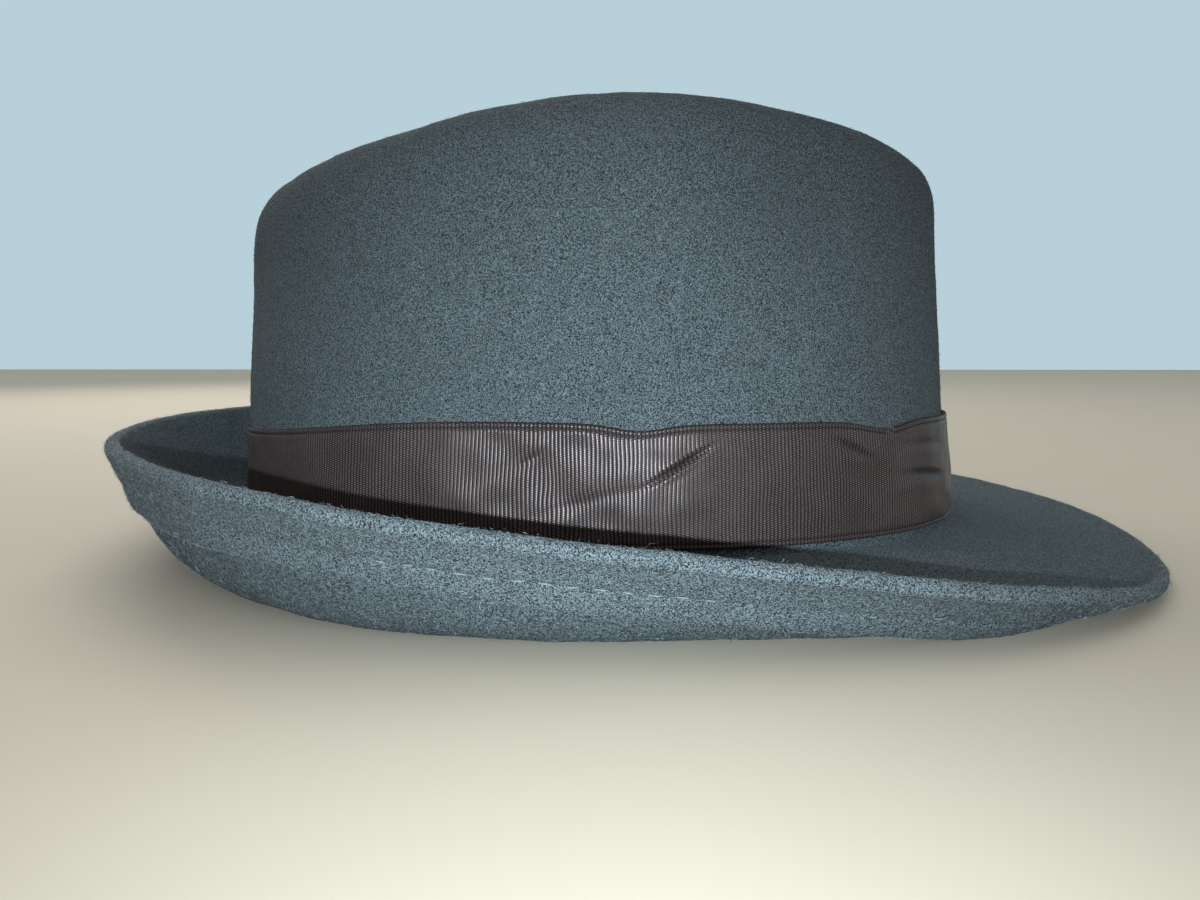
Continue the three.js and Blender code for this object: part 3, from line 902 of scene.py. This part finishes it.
class Shader:
    """Nodes of one material."""

    def __init__(self, name, **settings):
        self.material = bpy.data.materials.new(name)
        self.material.use_nodes = True
        self.nodes = self.material.node_tree.nodes
        self.links = self.material.node_tree.links
        self.surface = self.nodes["Principled BSDF"]
        for setting, value in settings.items():
            socket = setting.replace("_", " ").title().replace("Ior", "IOR")
            self.surface.inputs[socket].default_value = value

    def add(self, kind, inputs=None, **settings):
        node = self.nodes.new("ShaderNode" + kind)
        for name, value in settings.items():
            setattr(node, name, value)
        for socket, value in (inputs or {}).items():
            self.feed(node.inputs[socket], value)
        return node

    def feed(self, socket, value):
        """Gives a socket a link to another socket, or a constant."""
        if isinstance(value, bpy.types.NodeSocket):
            self.links.new(value, socket)
        else:
            socket.default_value = value

    def place(self):
        return self.add("TexCoord").outputs["Object"]

    def noise(self, size, detail=2.0, roughness=0.5):
        """Noise between about 0 and 1, with grains of a size in millimetres."""
        return self.add("TexNoise", {
            "Vector": self.place(), "Scale": 1 / (size * MM), "Detail": detail,
            "Roughness": roughness,
        }).outputs["Fac"]

    def math(self, operation, *values):
        node = self.add("Math", operation=operation)
        for socket, value in zip(node.inputs, values):
            self.feed(socket, value)
        return node.outputs[0]

    def ramp(self, value, low, high, first=0.0, last=1.0):
        return self.add("MapRange", {
            "Value": value, "From Min": low, "From Max": high, "To Min": first, "To Max": last,
        }).outputs["Result"]

    def mix(self, share, first, second):
        """Mix of two colours, by the numbers of the sockets that the node has for colours."""
        node = self.add("Mix", data_type="RGBA")
        for socket, value in ((0, share), (6, first), (7, second)):
            self.feed(node.inputs[socket], value)
        return node.outputs[2]

    def bump(self, height, distance, under=None):
        inputs = {"Height": height, "Distance": distance * MM, "Strength": 1.0}
        if under:
            inputs["Normal"] = under
        return self.add("Bump", inputs).outputs["Normal"]

    def connect(self, **sockets):
        for name, value in sockets.items():
            self.links.new(value, self.surface.inputs[name.replace("_", " ").title()])
        return self.material


FELT_DARK = (0.01, 0.0115, 0.0125, 1)
FELT_LIGHT = (0.152, 0.191, 0.208, 1)
# The doubled edge's colour is lighter than the rest: partly the felt's own, partly painted light of
# the near lamp and the floor's bounce
FELT_EDGE_PAINTED_LIGHT = (0.184, 0.228, 0.248, 1)
FELT_BROWN = (0.056, 0.053, 0.053, 1)
# Sizes of the felt's grain, of its finer grain and of its brown patches, in millimetres
FELT_GRAINS = (0.36, 0.18, 9)
# Painted shade: the felt's colour is darker towards the top of the crown, standing in for less
# light falling there than low down
PAINTED_SHADE_HEIGHTS = (25, 100)
PAINTED_SHADE_LEAST = 0.43


def felt_material():
    shader = Shader("charcoal_felt", roughness=0.8, specular_ior_level=0.12)
    coarse_size, fine_size, patch_size = FELT_GRAINS
    grain = shader.noise(coarse_size, detail=2, roughness=0.7)
    fine = shader.noise(fine_size, detail=2, roughness=0.6)
    patches = shader.noise(patch_size, detail=4, roughness=0.6)
    # The doubled edge's lighter colour is partly painted light
    doubled = shader.add("Attribute", attribute_name="doubled").outputs["Fac"]
    light = shader.mix(doubled, FELT_LIGHT, FELT_EDGE_PAINTED_LIGHT)
    most, rest = shader.math("MULTIPLY", grain, 0.6), shader.math("MULTIPLY", fine, 0.4)
    speck = shader.math("ADD", most, rest)
    height = shader.add("SeparateXYZ", {"Vector": shader.place()}).outputs["Z"]
    # Painted shade: the colour darkens towards the top of the crown
    top_painted_shade = shader.ramp(height, PAINTED_SHADE_HEIGHTS[0] * MM, PAINTED_SHADE_HEIGHTS[1] * MM, 1, PAINTED_SHADE_LEAST)
    share = shader.math("MULTIPLY", shader.ramp(speck, 0.43, 0.58), top_painted_shade)
    colour = shader.mix(share, FELT_DARK, light)
    colour = shader.mix(shader.ramp(patches, 0.45, 0.8, 0, 0.25), colour, FELT_BROWN)
    normal = shader.bump(grain, 0.3)
    normal = shader.bump(fine, 0.15, normal)
    return shader.connect(base_color=colour, normal=normal)


RIBBON_DARK = (0.008, 0.006, 0.006, 1)
RIBBON_LIGHT = (0.128, 0.098, 0.093, 1)
WEAVE_PITCH = 0.5


def ribbon_material():
    """Ribs that are glossy along their crests, with painted shade in the grooves between them that
    leaves the crests light, crossed by the threads of the weave.
    """
    shader = Shader("grosgrain", roughness=0.42, sheen_weight=0.02, sheen_roughness=0.4,
                    specular_ior_level=0.16, specular_tint=(1, 0.88, 0.88, 1))
    weave = shader.add("Attribute", attribute_name="weave").outputs["Vector"]
    axes = shader.add("SeparateXYZ", {"Vector": weave}).outputs
    rib, across = axes["X"], axes["Y"]
    crest = shader.math("ABSOLUTE", shader.math("SINE", shader.math("MULTIPLY", rib, math.pi)))
    offset = shader.math("MULTIPLY", shader.math("FLOOR", rib), math.pi)
    turns = shader.math("MULTIPLY", across, 2 * math.pi / WEAVE_PITCH)
    warp = shader.math("SINE", shader.math("ADD", turns, offset))
    warp = shader.ramp(warp, -1, 1)
    slub = shader.noise(0.5, detail=3, roughness=0.7)
    patches = shader.noise(14, detail=3)
    # The fold attribute is painted shade, in creases, the selvedge groove, along the edges and on
    # the back; it darkens the colour and makes it rough
    fold = shader.add("Attribute", attribute_name="fold").outputs["Fac"]
    # Painted shade: the colour darkens from each rib's crest into the grooves beside it
    share = shader.ramp(crest, 0.25, 0.95)
    for part in (
        shader.ramp(fold, 0, 1, 1, 0.05),
        shader.ramp(warp, 0, 1, 0.12, 1.05),
        shader.ramp(slub, 0.3, 0.7, 0.6, 1.15),
        shader.ramp(patches, 0.3, 0.7, 0.75, 1.1),
    ):
        share = shader.math("MULTIPLY", share, part)
    colour = shader.mix(share, RIBBON_DARK, RIBBON_LIGHT)
    rough = shader.math("MAXIMUM", shader.ramp(crest, 0.1, 0.5, 0.7, 0.25), fold)
    threads = shader.math("MULTIPLY", warp, crest)
    height = shader.math("ADD", threads, shader.math("MULTIPLY", slub, 0.5))
    return shader.connect(base_color=colour, roughness=rough, normal=shader.bump(height, 0.012))


HAIR_DARK = (0.035, 0.043, 0.047, 1)
HAIR_LIGHT = (0.19, 0.23, 0.25, 1)
# The underside's hairs are lighter than the crown's: partly their own colour, partly painted light
# on the near underside
HAIR_UNDER_DARK = (0.085, 0.103, 0.112, 1)
HAIR_UNDER_LIGHT = (0.36, 0.43, 0.46, 1)
PALE_THREAD = (0.22, 0.25, 0.26, 1)
DARK_THREAD = (0.02, 0.015, 0.014, 1)
LINT_COLOUR = (0.34, 0.38, 0.4, 1)
THREAD_DARKER = 0.6


def darker(colour, share):
    return tuple(c * share for c in colour[:3]) + (1,)


def hair_material(name, dark, light):
    shader = Shader(name, roughness=0.9, specular_ior_level=0.2)
    hair = shader.add("Attribute", attribute_name="hair").outputs["Fac"]
    wear = shader.noise(0.4, detail=2)
    share = shader.math("MULTIPLY", hair, shader.ramp(wear, 0.3, 0.7, 0.7, 1.2))
    return shader.connect(base_color=shader.mix(share, dark, light))


def thread_material(name, colour):
    shader = Shader(name, roughness=0.7, sheen_weight=0.3)
    fibre = shader.noise(0.2, detail=3)
    dark = darker(colour, THREAD_DARKER)
    return shader.connect(
        base_color=shader.mix(shader.ramp(fibre, 0.3, 0.7), dark, colour),
        normal=shader.bump(fibre, 0.05),
    )


# Stage
FLOOR_COLOUR = (0.455, 0.4, 0.32, 1)
WALL_COLOUR = (0.47, 0.62, 0.69, 1)
STUDIO_COLOUR = (0.5, 0.5, 0.49, 1)
STUDIO_STRENGTH = 0.95
FLOOR_SIZE = 60000
WALL_WIDTH = 60000
WALL_HEIGHT = 3000
WALL_DISTANCE = 1500
FLOOR_DROP = 0.02
# Size of the floor's faint patches, and how dark they are
DUST_SIZE = 30
DUST_DARKER = 0.96
# Lamps: places, targets and sizes in millimetres, power in watts, and spread in degrees
LAMPS = {
    "key": {"place": (0, -300, 48), "target": (0, 0, 90), "size": 3, "power": 0.385,
            "colour": (0.84, 1, 1.1), "spread": 112},
    "top": {"place": (-300, -100, 3000), "target": (0, 0, 40), "size": 3500, "power": 32,
            "colour": (0.95, 0.95, 0.91), "spread": 180},
    "behind": {"place": (-350, 600, 600), "target": (0, 0, 40), "size": 700, "power": 4.5,
               "colour": (1, 0.97, 0.93), "spread": 180},
}


def flat_piece(name, material, *corners):
    mesh = bpy.data.meshes.new(name)
    mesh.from_pydata([[c * MM for c in corner] for corner in corners], [], [(0, 1, 2, 3)])
    mesh.materials.append(material)
    piece = bpy.data.objects.new(name, mesh)
    bpy.context.scene.collection.objects.link(piece)


def stage():
    """Plain floor and wall, which stay out of the model, and an even light from all sides."""
    plain = Shader("floor", roughness=0.8)
    dust = plain.noise(DUST_SIZE, detail=3)
    plain.connect(base_color=plain.mix(dust, FLOOR_COLOUR, darker(FLOOR_COLOUR, DUST_DARKER)))
    half, low = FLOOR_SIZE / 2, -FLOOR_DROP
    flat_piece(
        "floor", plain.material,
        (-half, -half, low), (half, -half, low), (half, half, low), (-half, half, low),
    )
    wall = Shader("wall", roughness=1.0, emission_strength=1.0)
    wall.surface.inputs["Base Color"].default_value = (0, 0, 0, 1)
    wall.surface.inputs["Emission Color"].default_value = WALL_COLOUR
    half, high, y = WALL_WIDTH / 2, WALL_HEIGHT, WALL_DISTANCE
    flat_piece(
        "wall", wall.material,
        (-half, y, low), (half, y, low), (half, y, high), (-half, y, high),
    )
    world = bpy.data.worlds.new("studio")
    world.use_nodes = True
    backdrop = world.node_tree.nodes["Background"].inputs
    backdrop["Color"].default_value = STUDIO_COLOUR
    backdrop["Strength"].default_value = STUDIO_STRENGTH
    bpy.context.scene.world = world


def area_light(name, lamp):
    data = bpy.data.lights.new(name, "AREA")
    data.size = lamp["size"] * MM
    data.energy = lamp["power"]
    data.spread = math.radians(lamp["spread"])
    data.color = lamp["colour"]
    light = bpy.data.objects.new(name, data)
    light.visible_camera = False
    light.location = np.array(lamp["place"]) * MM
    way = np.array(lamp["target"]) - np.array(lamp["place"])
    light.rotation_euler = Vector(way).to_track_quat("-Z", "Y").to_euler()
    bpy.context.scene.collection.objects.link(light)


bpy.context.scene.view_settings.view_transform = "Standard"
camera()
form = FeltForm()
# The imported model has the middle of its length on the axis, and new_piece moves each piece there
packed_low, packed_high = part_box("felt_body")
form_middle = (form.skin[..., 0].min() + form.skin[..., 0].max()) / 2
shift = (packed_low.x + packed_high.x) / 2 / MM - form_middle
felt_body(form, felt_material())
edge_stitches(form, thread_material("pale_thread", PALE_THREAD))
ribbon(ribbon_material())
tacks(thread_material("dark_thread", DARK_THREAD))
lint(form, thread_material("lint_thread", LINT_COLOUR))
all_nap(
    form,
    hair_material("nap_hair", HAIR_DARK, HAIR_LIGHT),
    hair_material("underside_hair", HAIR_UNDER_DARK, HAIR_UNDER_LIGHT),
)
stage()
for lamp_name, lamp in LAMPS.items():
    area_light(lamp_name, lamp)
